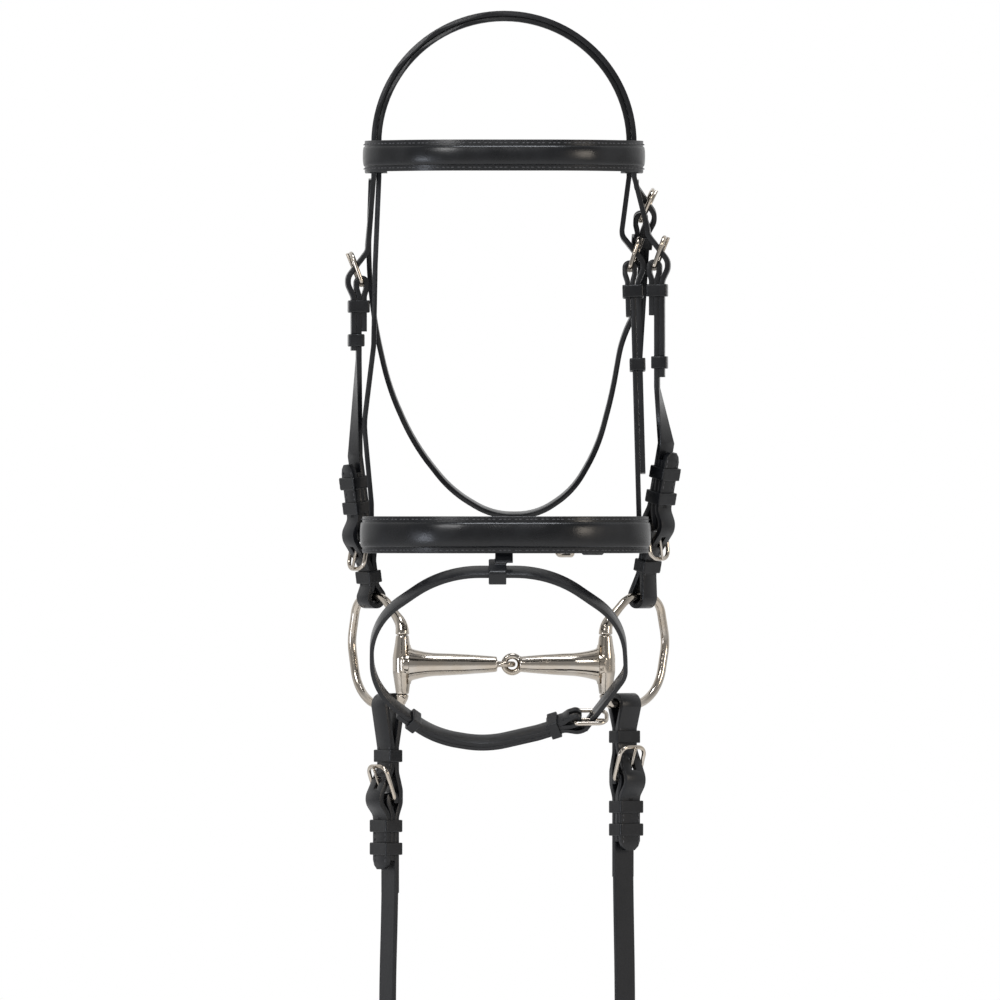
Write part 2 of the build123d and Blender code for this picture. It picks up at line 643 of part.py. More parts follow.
# Free part of each rein: it hangs down, is folded into a tied hank in its own plane and comes
# across in front to the buckle that joins the two reins. Points are (u, z), u outwards.
hank_route = [(1, -672), (-1, -765), (-1, -850), (-8, -915), (-32, -965), (-36, -1010), (6, -1050),
              (48, -1010), (44, -965), (20, -915), (9.5, -850), (9.5, -775), (16, -728), (50, -694),
              (88, -722), (90, -775), (86, -830)]
tie_spot = (4.25, -812.0)
centre_bar = leaning_plane((0, -65, -1000), (0, 0, -1), (1, 0, 0))
centre_leg = -40.0
centre_start = {-1: (centre_leg - 0.5, -1001.76), 1: (26.5, -995.4)}


def tail_points(side):
    """The rein's way from the end of its hank to the centre buckle."""
    start = rein_plane(side).from_local_coords((hank_route[-1][0], ring_bottom - hank_route[-1][1], 0))
    inner, level = centre_start[side]
    return [start, start + Vector(side, -2, -52), Vector(side * 120, -62, -940),
            Vector(side * 84, -65, -990), Vector(inner, -65, level)]


def add_tail(side):
    """Flat strap along that way, turning from the hank's own plane until it faces the floor."""
    points = tail_points(side)
    middles = [points[0], (points[1] + points[2]) / 2, (points[2] + points[3]) / 2, points[4]]
    first = rein_plane(side).z_dir
    first = first if first.Y < 0 else -first
    stations = []
    for start, corner, end in zip(middles, points[1:], middles[1:]):
        for share in (0, 0.25, 0.5, 0.75):
            place = start * (1 - share) ** 2 + corner * 2 * share * (1 - share) + end * share ** 2
            stations.append((place, (corner - start) * (1 - share) + (end - corner) * share))
    stations.append((points[4], points[4] - points[3]))
    sections = []
    for count, (place, way) in enumerate(stations):
        share = count / (len(stations) - 1)
        across = first * (1 - share) + Vector(0, -1, 0) * share
        across = across - way.normalized() * across.dot(way.normalized())
        with BuildSketch(Plane(origin=place, x_dir=across.cross(way), z_dir=way)) as section:
            Rectangle(leather, rein_width)
        sections.append(section.sketch)
    loft(sections, ruled=True)


for side in (-1, 1):
    name = name_of[side]
    plane = rein_plane(side)
    route = [(-half_lap, rein_strap_end[side] + 0.1)] + [(u, ring_bottom - z) for u, z in hank_route]
    radii = bend_radii(route)
    print(name, "rein radii", [round(radius) for radius in radii])
    with BuildPart() as cord:
        add_strap(plane, route, radii, rein_width)
        add_tail(side)
    print(name, "rein length", round(cord.part.volume / (rein_width * leather)))
    finish(cord, f"{name}_rein_cord")
    with BuildPart() as tie:
        add_keeper(plane, tie_spot[0], ring_bottom - tie_spot[1], 4, rein_width, height=14)
    finish(tie, f"{name}_rein_tie")

with BuildPart() as centre_fold:
    add_fold(centre_bar, centre_leg, rein_width)
finish(centre_fold, "off_rein_tail")
with BuildPart() as centre_billet:
    add_top_billet(centre_bar, -48.0, 26.0, rein_width)
finish(centre_billet, "near_rein_tail")
make_buckle(centre_bar, top_bar, top_tip, rein_width, "rein_centre_buckle")
make_tongue(centre_bar, top_bar, top_tip, "rein_centre_tongue")
with BuildPart() as centre_loop:
    add_keeper(centre_bar, half_lap, -16.0, 3, rein_width)
finish(centre_loop, "rein_centre_keeper")
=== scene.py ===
import bpy
import json
import math
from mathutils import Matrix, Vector
from mathutils.bvhtree import BVHTree


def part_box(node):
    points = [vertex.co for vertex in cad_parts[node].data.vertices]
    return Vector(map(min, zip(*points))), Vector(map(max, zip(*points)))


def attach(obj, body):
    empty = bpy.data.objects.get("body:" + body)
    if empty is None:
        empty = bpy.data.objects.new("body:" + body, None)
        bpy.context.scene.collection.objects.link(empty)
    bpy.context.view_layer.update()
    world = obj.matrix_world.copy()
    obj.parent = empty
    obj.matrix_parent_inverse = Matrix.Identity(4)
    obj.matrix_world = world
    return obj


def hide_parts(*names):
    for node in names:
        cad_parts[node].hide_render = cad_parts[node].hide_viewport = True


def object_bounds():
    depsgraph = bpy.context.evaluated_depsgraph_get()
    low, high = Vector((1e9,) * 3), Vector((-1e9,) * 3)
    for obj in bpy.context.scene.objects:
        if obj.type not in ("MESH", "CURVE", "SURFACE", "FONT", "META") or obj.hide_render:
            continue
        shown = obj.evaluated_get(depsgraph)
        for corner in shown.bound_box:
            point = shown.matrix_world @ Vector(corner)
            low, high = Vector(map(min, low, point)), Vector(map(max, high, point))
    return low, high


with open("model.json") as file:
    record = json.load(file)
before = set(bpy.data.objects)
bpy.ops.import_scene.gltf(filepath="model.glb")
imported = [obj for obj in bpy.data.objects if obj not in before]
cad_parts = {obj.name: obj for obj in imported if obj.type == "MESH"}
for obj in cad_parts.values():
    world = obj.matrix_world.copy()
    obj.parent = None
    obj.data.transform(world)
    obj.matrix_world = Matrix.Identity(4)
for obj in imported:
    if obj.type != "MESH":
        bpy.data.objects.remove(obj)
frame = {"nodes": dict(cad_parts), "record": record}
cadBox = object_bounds()
nodes = frame["nodes"]
bodies = frame["record"]["behaviour"]["bodies"]
bodyOf = {node: body for body, group in bodies.items() for node in group}
bpy.ops.object.select_all(action="DESELECT")
print("frame loaded:", len(nodes), "nodes")


# Small helpers

def linearColour(hexValue):
    parts = [int(hexValue[i:i + 2], 16) / 255 for i in (1, 3, 5)]
    return [c / 12.92 if c <= 0.04045 else ((c + 0.055) / 1.055) ** 2.4 for c in parts] + [1.0]


def addNode(tree, kind, place, settings=None, links=None):
    node = tree.nodes.new(kind)
    node.location = place
    for key, value in (settings or {}).items():
        if key in node.inputs:
            node.inputs[key].default_value = value
        else:
            setattr(node, key, value)
    for key, socket in (links or {}).items():
        tree.links.new(socket, node.inputs[key])
    return node


def newMaterial(name):
    material = bpy.data.materials.new(name)
    material.use_nodes = True
    material.node_tree.nodes.clear()
    return material


def finishMaterial(tree, shader):
    addNode(tree, "ShaderNodeOutputMaterial", (600, 0), links={"Surface": shader.outputs["BSDF"]})


def selectOnly(piece):
    bpy.ops.object.select_all(action="DESELECT")
    piece.select_set(True)
    bpy.context.view_layer.objects.active = piece


def newPiece(name, vertices, faces):
    mesh = bpy.data.meshes.new(name)
    mesh.from_pydata(vertices, [], faces)
    mesh.update()
    piece = bpy.data.objects.new(name, mesh)
    bpy.context.scene.collection.objects.link(piece)
    return piece


def dress(piece, material):
    piece.data.materials.clear()
    piece.data.materials.append(material)


def shadeWithin(piece, degrees):
    selectOnly(piece)
    bpy.ops.object.shade_smooth_by_angle(angle=math.radians(degrees))


def faceOutwards(piece):
    selectOnly(piece)
    bpy.ops.object.mode_set(mode="EDIT")
    bpy.ops.mesh.select_all(action="SELECT")
    bpy.ops.mesh.normals_make_consistent(inside=False)
    bpy.ops.object.mode_set(mode="OBJECT")


def wallFaces(first, rows, ring):
    # quads between rings of points that follow each other
    faces = []
    for row in range(rows - 1):
        for turn in range(ring):
            a = first + row * ring + turn
            b = first + row * ring + (turn + 1) % ring
            faces.append((a, b, b + ring, a + ring))
    return faces


def capFaces(rows, ring):
    # the two flat ends of a closed tube of rings
    return [tuple(range(ring)), tuple(reversed(range((rows - 1) * ring, rows * ring)))]


mergeWithin = 0.000002


def cadCopy(nodeName, ending, flatAngle=None):
    # a free copy of a CAD piece, with its doubles merged so that it shades smooth, and its flat
    # faces joined where an angle is given
    piece = nodes[nodeName].copy()
    piece.data = nodes[nodeName].data.copy()
    piece.name = nodeName + ending
    piece.parent = None
    for key in [k for k in piece.keys() if k.startswith("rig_")]:
        del piece[key]
    bpy.context.scene.collection.objects.link(piece)
    selectOnly(piece)
    bpy.ops.object.mode_set(mode="EDIT")
    bpy.ops.mesh.select_all(action="SELECT")
    bpy.ops.mesh.remove_doubles(threshold=mergeWithin)
    if flatAngle:
        bpy.ops.mesh.dissolve_limited(angle_limit=math.radians(flatAngle))
    bpy.ops.object.mode_set(mode="OBJECT")
    return piece


# Materials

# Bridle leather: vegetable tanned cowhide, dyed black, waxed and rolled smooth. The wax gives a
# satin sheen, the pores show as a fine grain, and bends and edges are painted a little greyer,
# partly as rub wear and partly as a painted highlight.
leatherLook = {
    "dye": "#07080B", "worn": "#16181D", "grainSize": 0.0009, "patchSize": 0.022,
    "smooth": 0.27, "rough": 0.45, "grainDepth": 0.00012, "creaseSize": 0.004,
}


def bridleLeather(name, look):
    material = newMaterial(name)
    tree = material.node_tree
    place = addNode(tree, "ShaderNodeTexCoord", (-1200, 0)).outputs["Object"]
    patches = addNode(tree, "ShaderNodeTexNoise", (-900, 250),
                      {"Scale": 1 / look["patchSize"], "Detail": 4.0, "Roughness": 0.6},
                      {"Vector": place})
    pores = addNode(tree, "ShaderNodeTexVoronoi", (-900, -50),
                    {"Scale": 1 / look["grainSize"], "Randomness": 1.0}, {"Vector": place})
    creases = addNode(tree, "ShaderNodeTexNoise", (-900, -350),
                      {"Scale": 1 / look["creaseSize"], "Detail": 3.0, "Roughness": 0.55},
                      {"Vector": place})
    # sharp edges and bends go greyer by their pointiness: partly rub wear, partly a painted
    # highlight
    edgeSharpness = addNode(tree, "ShaderNodeNewGeometry", (-900, 500)).outputs["Pointiness"]
    edgeWearAndHighlight = addNode(tree, "ShaderNodeMapRange", (-650, 500),
                    {"From Min": 0.52, "From Max": 0.62, "To Min": 0.0, "To Max": 0.55},
                    {"Value": edgeSharpness})
    patchWear = addNode(tree, "ShaderNodeMapRange", (-650, 250),
                        {"From Min": 0.45, "From Max": 0.75, "To Min": 0.0, "To Max": 0.35},
                        {"Value": patches.outputs["Fac"]})
    wearAndHighlightMask = addNode(tree, "ShaderNodeMath", (-450, 380), {"operation": "MAXIMUM"})
    tree.links.new(edgeWearAndHighlight.outputs["Result"], wearAndHighlightMask.inputs[0])
    tree.links.new(patchWear.outputs["Result"], wearAndHighlightMask.inputs[1])
    colour = addNode(tree, "ShaderNodeMix", (-200, 300), {"data_type": "RGBA"})
    tree.links.new(wearAndHighlightMask.outputs["Value"], colour.inputs["Factor"])
    colour.inputs[6].default_value = linearColour(look["dye"])
    colour.inputs[7].default_value = linearColour(look["worn"])
    roughness = addNode(tree, "ShaderNodeMapRange", (-200, 50),
                        {"From Min": 0.3, "From Max": 0.7,
                         "To Min": look["smooth"], "To Max": look["rough"]},
                        {"Value": patches.outputs["Fac"]})
    grain = addNode(tree, "ShaderNodeBump", (-200, -100),
                    {"Strength": 0.35, "Distance": look["grainDepth"]},
                    {"Height": pores.outputs["Distance"]})
    folds = addNode(tree, "ShaderNodeBump", (0, -250),
                    {"Strength": 0.25, "Distance": look["grainDepth"] * 3},
                    {"Height": creases.outputs["Fac"], "Normal": grain.outputs["Normal"]})
    shader = addNode(tree, "ShaderNodeBsdfPrincipled", (250, 0),
                     {"IOR": 1.38, "Coat Weight": 0.06, "Coat Roughness": 0.2},
                     {"Base Color": colour.outputs[2], "Roughness": roughness.outputs["Result"],
                      "Normal": folds.outputs["Normal"]})
    finishMaterial(tree, shader)
    return material


# Stainless steel, cast, tumbled and mirror polished: sharp reflections, with faint smudges in the
# roughness, and random patches painted a warmer tint as a painted reflection of warm light.
steelLook = {
    "colour": "#B9B6B2", "warm": "#A3947F", "smooth": 0.09, "rough": 0.22, "smudgeSize": 0.012,
}


def polishedStainless(name, look):
    material = newMaterial(name)
    tree = material.node_tree
    place = addNode(tree, "ShaderNodeTexCoord", (-900, 0)).outputs["Object"]
    smudgeAndWarmReflection = addNode(tree, "ShaderNodeTexNoise", (-650, 100),
                      {"Scale": 1 / look["smudgeSize"], "Detail": 5.0}, {"Vector": place})
    # random patches go to a warmer tint: a painted reflection of warm light, not the steel's own
    # colour
    colour = addNode(tree, "ShaderNodeMix", (-200, 200), {"data_type": "RGBA"},
                     {"Factor": smudgeAndWarmReflection.outputs["Fac"]})
    colour.inputs[6].default_value = linearColour(look["colour"])
    colour.inputs[7].default_value = linearColour(look["warm"])
    roughness = addNode(tree, "ShaderNodeMapRange", (-200, -50),
                        {"From Min": 0.4, "From Max": 0.75,
                         "To Min": look["smooth"], "To Max": look["rough"]},
                        {"Value": smudgeAndWarmReflection.outputs["Fac"]})
    shader = addNode(tree, "ShaderNodeBsdfPrincipled", (250, 0), {"Metallic": 1.0},
                     {"Base Color": colour.outputs[2], "Roughness": roughness.outputs["Result"]})
    finishMaterial(tree, shader)
    return material


# Waxed linen thread, twisted: matt black with a slight shine on top of each stitch.
threadLook = {"colour": "#3A3A3D", "rough": 0.55, "twistSize": 0.0007}


def waxedThread(name, look):
    material = newMaterial(name)
    tree = material.node_tree
    place = addNode(tree, "ShaderNodeTexCoord", (-900, 0)).outputs["Object"]
    twist = addNode(tree, "ShaderNodeTexWave", (-600, 0),
                    {"Scale": 1 / look["twistSize"] / 20, "bands_direction": "DIAGONAL"},
                    {"Vector": place})
    bump = addNode(tree, "ShaderNodeBump", (-200, -100), {"Strength": 0.3, "Distance": 0.0001},
                   {"Height": twist.outputs["Fac"]})
    shader = addNode(tree, "ShaderNodeBsdfPrincipled", (250, 0),
                     {"Base Color": linearColour(look["colour"]), "Roughness": look["rough"],
                      "IOR": 1.5},
                     {"Normal": bump.outputs["Normal"]})
    finishMaterial(tree, shader)
    return material


strapLeather = bridleLeather("bridleLeather", leatherLook)
rollLook = dict(leatherLook, smooth=0.24, rough=0.36, creaseSize=0.007)
rollLeather = bridleLeather("paddedRollLeather", rollLook)
reinLeather = bridleLeather("reinLeather", dict(leatherLook, smooth=0.36, rough=0.52))
steel = polishedStainless("polishedStainless", steelLook)
thread = waxedThread("waxedLinenThread", threadLook)
# the punched holes are near-black discs on the leather: their colour is painted shade for the
# inside of each hole
holeShadeLook = dict(leatherLook, dye="#050506", worn="#08080A", smooth=0.7, rough=0.85)
paintedHoleShade = bridleLeather("punchedLeather", holeShadeLook)
print("materials made")


# Soft edges

castSettings = {"voxel": 0.00045, "rounds": 16, "factor": 0.5}


def castSurface(piece, settings):
    # a cast and tumbled piece has no sharp inner corners: remeshed finely, then smoothed
    remesh = piece.modifiers.new("cast", "REMESH")
    remesh.mode = "VOXEL"
    remesh.voxel_size = settings["voxel"]
    bpy.ops.object.modifier_apply(modifier=remesh.name)
    tumble = piece.modifiers.new("tumble", "SMOOTH")
    tumble.factor = settings["factor"]
    tumble.iterations = settings["rounds"]
    bpy.ops.object.modifier_apply(modifier=tumble.name)


# Straps: every leather solid gets turned edges

strapSettings = {
    "edge": 0.0006, "segments": 2, "edgeAngle": 38, "flatAngle": 1.0, "shadeAngle": 35,
}
loopSettings = {"voxel": 0.0005, "rounds": 7, "factor": 0.5}
loopEnds = ("_keeper", "_keepers", "_tie", "flash_loop")


def turnedEdgeStrap(nodeName, material, settings, softened):
    piece = cadCopy(nodeName, "_leather", None if softened else settings["flatAngle"])
    if softened:
        castSurface(piece, loopSettings)
    else:
        bevel = piece.modifiers.new("turnedEdge", "BEVEL")
        bevel.width = settings["edge"]
        bevel.segments = settings["segments"]
        bevel.limit_method = "ANGLE"
        bevel.angle_limit = math.radians(settings["edgeAngle"])
        bevel.use_clamp_overlap = True
        bpy.ops.object.modifier_apply(modifier=bevel.name)
    shadeWithin(piece, settings["shadeAngle"])
    dress(piece, material)
    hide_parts(nodeName)
    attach(piece, bodyOf[nodeName])
    return piece


steelEnds = ("_buckle", "_tongue", "bit_ring", "mouthpiece")
madeOtherwise = ["browband_padding", "noseband_padding", "off_rein_cord", "near_rein_cord"]
straps = {}
for nodeName in sorted(nodes):
    if nodeName.endswith(steelEnds) or nodeName in madeOtherwise:
        continue
    softened = nodeName.endswith(loopEnds)
    straps[nodeName] = turnedEdgeStrap(nodeName, strapLeather, strapSettings, softened)
print("straps made:", len(straps))


# Steel: same shapes, with their doubles merged so that they shade smooth

flareSettings = {
    "barrel": (0.069, -0.018), "ends": (-0.4170, -0.4576), "reaches": (0.022, 0.010),
    "grow": 0.0022, "fade": 1.5, "level": 0.006,
    "cannonZ": -0.4372, "cannonHalf": 0.0105, "cannonFrom": 0.004, "cannonTo": 0.024,
    "cannonGrow": 0.0034,
}
steelShadeAngle = 40


def flareCannon(piece, settings):
    # the arm of the mouthpiece swells where it leaves its barrel
    barrelX, barrelY = settings["barrel"]
    for vertex in piece.data.vertices:
        inward = barrelX - abs(vertex.co.x)
        if settings["cannonFrom"] < inward < settings["cannonTo"]:
            share = inward - settings["cannonFrom"]
            share /= settings["cannonTo"] - settings["cannonFrom"]
            way = Vector((0, vertex.co.y - barrelY, vertex.co.z - settings["cannonZ"]))
            height = abs(vertex.co.z - settings["cannonZ"])
            if height < settings["cannonHalf"]:
                vertex.co += way.normalized() * settings["cannonGrow"] * (1 - share) ** 2


def flareRing(piece, settings):
    # an eggbutt ring swells smoothly into its barrel
    side = -1 if piece.name.startswith("off") else 1
    barrelX, barrelY = settings["barrel"]
    moves = []
    for vertex in piece.data.vertices:
        for end, reach in zip(settings["ends"], settings["reaches"]):
            tip = Vector((side * barrelX, barrelY, end))
            away = (vertex.co - tip).length
            inside = settings["ends"][1] < vertex.co.z < settings["ends"][0]
            if away < reach and not inside:
                way = vertex.normal.copy()
                if away < settings["level"]:
                    way.z = 0
                grow = settings["grow"] * (1 - away / reach) ** settings["fade"]
                moves.append((vertex.index, way * grow))
    for index, move in moves:
        piece.data.vertices[index].co += move


for nodeName in sorted(nodes):
    if not nodeName.endswith(steelEnds):
        continue
    piece = cadCopy(nodeName, "_steel")
    if nodeName.endswith(("bit_ring", "mouthpiece")):
        castSurface(piece, castSettings)
    if nodeName.endswith("bit_ring"):
        flareRing(piece, flareSettings)
    if nodeName.endswith("mouthpiece"):
        flareCannon(piece, flareSettings)
    shadeWithin(piece, steelShadeAngle)
    dress(piece, steel)
    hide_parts(nodeName)
    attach(piece, bodyOf[nodeName])
print("steel made")


# Padded rolls on the browband and the noseband

lineSettings = {"rays": 1400, "halfTurn": 150, "startFar": 0.4, "spread": 3}


def outerLine(nodeName, centre, height, farBack, step):
    # points and outward directions round the outside of a band, at one height, evenly spaced
    mesh = nodes[nodeName].data
    tree = BVHTree.FromPolygons([v.co for v in mesh.vertices], [p.vertices for p in mesh.polygons])
    raw = []
    for count in range(-lineSettings["rays"], lineSettings["rays"] + 1):
        angle = count / lineSettings["rays"] * math.radians(lineSettings["halfTurn"])
        way = Vector((math.sin(angle), -math.cos(angle), 0))
        start = Vector((centre[0], centre[1], height)) + way * lineSettings["startFar"]
        spot, normal, face, distance = tree.ray_cast(start, -way)
        if spot is not None and spot.y <= farBack:
            raw.append(spot)
    line = [raw[0]]
    since = 0.0
    for before, here in zip(raw, raw[1:]):
        since += (here - before).length
        if since >= step:
            line.append(here.copy())
            since -= step
    outwards = []
    for index in range(len(line)):
        low = max(index - lineSettings["spread"], 0)
        high = min(index + lineSettings["spread"], len(line) - 1)
        along = (line[high] - line[low]).normalized()
        outwards.append(Vector((along.y, -along.x, 0)))
    return line, outwards


rollSettings = {
    "browband": {"node": "browband", "padding": "browband_padding", "centre": (0.0, -0.045),
                 "height": 0.0132, "crown": 0.0030, "farBack": -0.030, "waves": 0.035},
    "noseband": {"node": "noseband_front", "padding": "noseband_padding", "centre": (0.001, -0.045),
                 "height": 0.0172, "crown": 0.0036, "farBack": -0.024, "waves": 0.04},
}


rollShape = {
    "step": 0.0015, "across": 18, "taperLength": 0.012, "tipShare": 0.03, "tipHeight": 0.55,
    "waveRates": (0.31, 0.073), "fullness": 0.6, "sideCrown": 0.4, "lift": 0.00005,
    "sink": 0.0002, "backHeight": 0.3, "shadeAngle": 50,
}


def rollSection(spot, out, height, crown, taper):
    # one crowned section, with two points sunk behind the leather that it lies on
    across = rollShape["across"]
    grown = rollShape["tipHeight"] + (1 - rollShape["tipHeight"]) * taper
    turned = rollShape["sideCrown"] + (1 - rollShape["sideCrown"]) * abs(out.y)
    section = []
    for turn in range(across + 1):
        angle = math.pi * turn / across
        side = -math.cos(angle) * height / 2 * grown
        rise = math.sin(angle) ** rollShape["fullness"] * crown * taper * turned
        section.append(spot + out * (rise + rollShape["lift"]) + Vector((0, 0, side)))
    back = Vector((0, 0, height * rollShape["backHeight"]))
    section.append(spot - out * rollShape["sink"] + back)
    section.append(spot - out * rollShape["sink"] - back)
    return section


def paddedRoll(name, settings):
    low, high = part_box(settings["node"])
    middle = (low.z + high.z) / 2
    step = rollShape["step"]
    line, outwards = outerLine(settings["node"], settings["centre"], middle,
                               settings["farBack"], step)
    slow, slower = rollShape["waveRates"]
    vertices = []
    for index, (spot, out) in enumerate(zip(line, outwards)):
        fromEnd = min(index, len(line) - 1 - index) * step / rollShape["taperLength"]
        bulge = math.sqrt(max(0.0, 1 - (1 - min(fromEnd, 1.0)) ** 2))
        taper = bulge * (1 - rollShape["tipShare"]) + rollShape["tipShare"]
        wave = 1 + settings["waves"] * math.sin(index * slow) * math.sin(index * slower + 1)
        vertices += rollSection(spot, out, settings["height"], settings["crown"] * wave, taper)
    ring = rollShape["across"] + 3
    faces = wallFaces(0, len(line), ring) + capFaces(len(line), ring)
    piece = newPiece(name + "_roll", vertices, faces)
    faceOutwards(piece)
    shadeWithin(piece, rollShape["shadeAngle"])
    dress(piece, rollLeather)
    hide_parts(settings["padding"])
    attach(piece, bodyOf[settings["padding"]])
    return line, outwards, middle


# Stitches

stitchSettings = {
    "length": 0.0025, "gap": 0.0011, "width": 0.0008, "rise": 0.0004, "sink": 0.0001,
    "sides": 6, "waists": ((-0.72, 0.75), (0.0, 1.0), (0.72, 0.75)),
}


def addStitch(vertices, faces, spot, along, out):
    # one stitch: a short hexagonal spindle lying on the leather
    side = along.cross(out)
    first = len(vertices)
    half = stitchSettings["length"] / 2
    sides = stitchSettings["sides"]
    waists = stitchSettings["waists"]
    for where, size in waists:
        for turn in range(sides):
            angle = 2 * math.pi * turn / sides
            vertices.append(spot + along * where * half
                            + side * math.cos(angle) * size * stitchSettings["width"] / 2
                            + out * math.sin(angle) * size * stitchSettings["rise"])
    vertices.append(spot - along * half - out * stitchSettings["sink"])
    vertices.append(spot + along * half - out * stitchSettings["sink"])
    faces += wallFaces(first, len(waists), sides)
    tip = first + len(waists) * sides
    last = tip - sides
    for turn in range(sides):
        after = (turn + 1) % sides
        faces.append((tip, first + after, first + turn))
        faces.append((tip + 1, last + turn, last + after))


def stitching(name, rows, body):
    # rows of (spot, direction along the row, outward direction)
    vertices = []
    faces = []
    for row in rows:
        for spot, along, out in row:
            addStitch(vertices, faces, spot, along, out)
    piece = newPiece(name, vertices, faces)
    faceOutwards(piece)
    bpy.ops.object.shade_smooth()
    dress(piece, thread)
    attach(piece, body)


stitchPitch = stitchSettings["length"] + stitchSettings["gap"]
rowHeights = {"browband": (-0.0082, 0.0082), "noseband": (-0.0104, 0.0104)}
for name, settings in rollSettings.items():
    line, outwards, middle = paddedRoll(name, settings)
    rows = []
    for height in rowHeights[name]:
        row = []
        since = stitchPitch
        for index in range(1, len(line) - 1):
            since += (line[index] - line[index - 1]).length
            if since >= stitchPitch:
                since -= stitchPitch
                along = (line[index + 1] - line[index - 1]).normalized()
                row.append((line[index] + Vector((0, 0, height)), along, outwards[index]))
        rows.append(row)
    stitching(name + "_stitching", rows, bodyOf[settings["node"]])
print("rolls and their stitching made")


# Where the buckled ends lie, worked out from the bit rings that they hang on. Lengths are in
# millimetres, kept to a hundredth, and directions to four places. Angles are in degrees, and the
# side is -1 for off and 1 for near.
ringSettings = {
    "barrel": (69.0, -18.0), "height": -428.0, "top": 36.5, "turn": {-1: 53.6, 1: 45.6},
}
sideNames = {-1: "off", 1: "near"}


def rounded(numbers, places):
    return tuple(round(number, places) for number in numbers)


def outward(turn, side):
    return (side * math.cos(math.radians(turn)), -math.sin(math.radians(turn)), 0.0)


def ringPoint(side, reach, rise):
    # a point in the ring's own plane, measured from its barrel
    turn = math.radians(ringSettings["turn"][side])
    barrelX, barrelY = ringSettings["barrel"]
    return rounded((side * (barrelX + reach * math.cos(turn)), barrelY + reach * math.sin(turn),
                    ringSettings["height"] + rise), 2)


cheekEnd = {"reach": 36.0, "tilt": {-1: 9.0, 1: 13.0}, "width": 13.0,
            "shift": {-1: 3.0, 1: 11.0}, "tip": {-1: 92.0, 1: 102.0}}
reinEnd = {"reach": {-1: 16.5, 1: 18.5}, "extraTurn": {-1: 0, 1: 8}, "width": 16.0,
           "shift": {-1: 24.0, 1: 11.0}, "tip": {-1: 112.0, 1: 99.0}}


def reinOut(side):
    turn = 90 - ringSettings["turn"][side] + reinEnd["extraTurn"][side]
    return rounded(outward(turn, side), 4)


def reinOrigin(side):
    return ringPoint(side, reinEnd["reach"][side], -ringSettings["top"])


def cheekPlane(side):
    # it leans outwards by the tilt, so both of its directions turn by that angle
    x, y, z = outward(90 - ringSettings["turn"][side], side)
    lean = math.radians(cheekEnd["tilt"][side])
    sine, cosine = math.sin(lean), math.cos(lean)
    origin = ringPoint(side, cheekEnd["reach"], ringSettings["top"])
    return (origin, rounded((x * cosine, y * cosine, -sine), 4),
            rounded((x * sine, y * sine, cosine), 4))


# each end: origin, outward direction, direction along the strap, width, shift and tip
endPlanes = {}
for side, sideName in sideNames.items():
    endPlanes[sideName + "_rein_end"] = (
        reinOrigin(side), reinOut(side), (0.0, 0.0, -1.0),
        reinEnd["width"], reinEnd["shift"][side], reinEnd["tip"][side])
for side, sideName in sideNames.items():
    endPlanes[sideName + "_cheek_strap"] = (
        *cheekPlane(side), cheekEnd["width"], cheekEnd["shift"][side], cheekEnd["tip"][side])


# Stitching and punched holes on the buckled ends
endSettings = {"inset": 1.7, "sewnFrom": 6.0, "sewnTo": 26.0, "tipFrom": 24.0, "tipTo": 4.0,
               "holeWidth": 3.2, "holes": (53.0, 76.0), "reach": 14.0, "facing": 0.6}


def surfaceTree(piece):
    return BVHTree.FromPolygons([v.co for v in piece.data.vertices],
                                [p.vertices for p in piece.data.polygons])


holeSettings = {
    "sides": 12, "rings": ((0.62, -0.00005), (0.5, 0.00012), (0.36, 0.00004)), "floor": 0.00002,
}


def addHole(vertices, faces, spot, along, out, width):
    # a punched hole: a shallow dish with a soft rim, dressed in painted shade for the dark inside
    # of the hole
    side = along.cross(out)
    first = len(vertices)
    sides = holeSettings["sides"]
    rings = holeSettings["rings"]
    for size, rise in rings:
        for turn in range(sides):
            angle = 2 * math.pi * turn / sides
            vertices.append(spot + (along * math.cos(angle) + side * math.sin(angle)) * size * width
                            + out * rise)
    vertices.append(spot + out * holeSettings["floor"])
    faces += wallFaces(first, len(rings), sides)
    centre = first + len(rings) * sides
    last = centre - sides
    for turn in range(sides):
        faces.append((last + turn, last + (turn + 1) % sides, centre))
    for turn in range(sides - 2):
        faces.append((first, first + turn + 2, first + turn + 1))


tipSettings = {
    "cuts": (0.0065, 0.0028), "past": -0.001, "length": 0.006, "low": 0.0002, "high": 0.012,
    "pointLength": 0.0018, "pointWidth": 0.45, "neckWidth": 0.82,
}


def cutTip(piece, origin, out, along, across, tip):
    # the free end of a billet is skived to a blunt point
    selectOnly(piece)
    for back in tipSettings["cuts"]:
        bpy.ops.object.mode_set(mode="EDIT")
        bpy.ops.mesh.select_all(action="SELECT")
        bpy.ops.mesh.bisect(plane_co=origin + along * (tip - back), plane_no=along)
        bpy.ops.object.mode_set(mode="OBJECT")
    for vertex in piece.data.vertices:
        local = vertex.co - origin
        before = tip - local.dot(along)
        height = local.dot(out)
        atTip = tipSettings["past"] < before < tipSettings["length"]
        if atTip and tipSettings["low"] < height < tipSettings["high"]:
            atPoint = before < tipSettings["pointLength"]
            narrow = tipSettings["pointWidth"] if atPoint else tipSettings["neckWidth"]
            vertex.co -= across * local.dot(across) * (1 - narrow)


def outerSpot(tree, origin, out, along, far, aside):
    # where the leather's outer face is, or nothing where it faces another way
    start = origin + along * far + along.cross(out) * aside + out * endSettings["reach"] / 1000
    spot, normal, face, distance = tree.ray_cast(start, -out)
    if spot is None or normal.dot(out) <= endSettings["facing"]:
        return None
    return spot, normal


